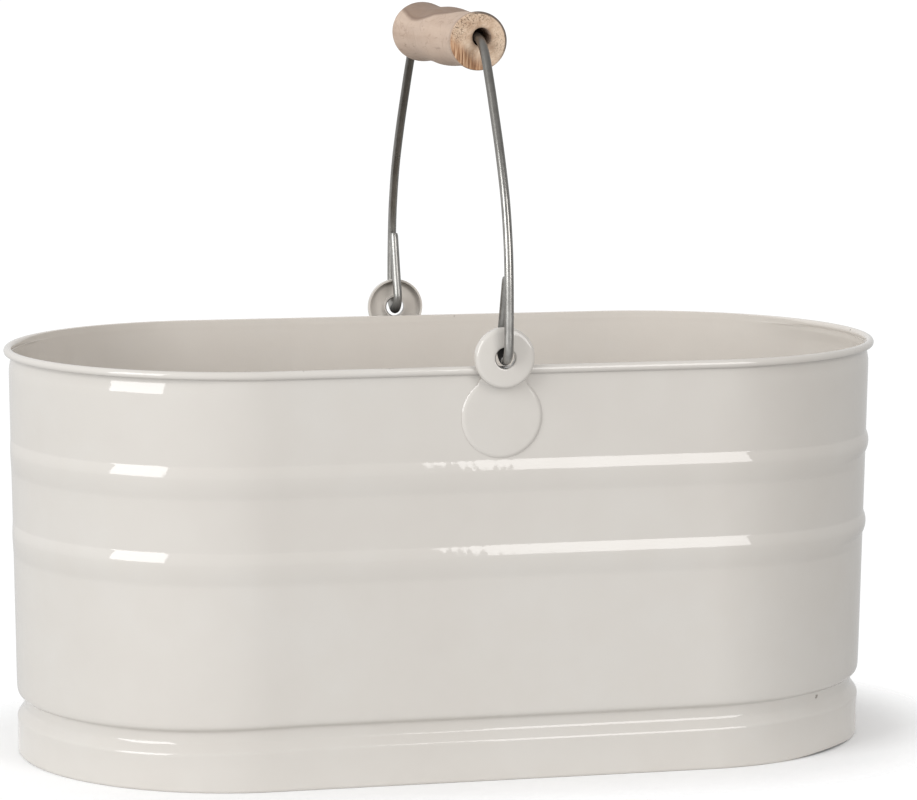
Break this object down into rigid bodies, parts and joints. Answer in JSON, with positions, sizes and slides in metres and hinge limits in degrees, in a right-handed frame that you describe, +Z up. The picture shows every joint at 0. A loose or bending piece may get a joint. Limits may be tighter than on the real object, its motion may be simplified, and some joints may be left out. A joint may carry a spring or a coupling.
{
  "type": "carrying tub",
  "caption": "Stadium-plan painted sheet-steel tub with rolled rim, raised beads and foot skirt, carried by a swinging wire bail with a turned wooden grip.",
  "frame": {"origin": "centre of the foot, on the surface the tub stands on", "axes": "+X along the long side, -Y towards the front lug, +Z up"},
  "size_m": [0.3634, 0.2034, 0.3035],
  "materials": {
    "paint": "glossy warm off-white paint over sheet steel",
    "steel_wire": "dull drawn zinc-grey wire",
    "grip_wood": "pale turned wood, bare, with end grain on the flat ends"
  },
  "bodies": {
    "tub": {"tub_wall": "paint", "base_pan": "paint", "rim_wire": "steel_wire", "front_lug": "paint", "rear_lug": "paint"},
    "bail": {"bail_wire": "steel_wire"},
    "grip": {"wooden_grip": "grip_wood"}
  },
  "joints": [
    {"name": "bail_swing", "type": "hinge", "parent": "tub", "child": "bail", "pos_m": [0.0009, 0, 0.1687], "axis": [0, 1, 0], "range_deg": [-90, 90]},
    {"name": "grip_spin", "type": "hinge", "parent": "bail", "child": "grip", "pos_m": [0.0009, 0, 0.2926], "axis": [0, 1, 0], "continuous": true}
  ]
}
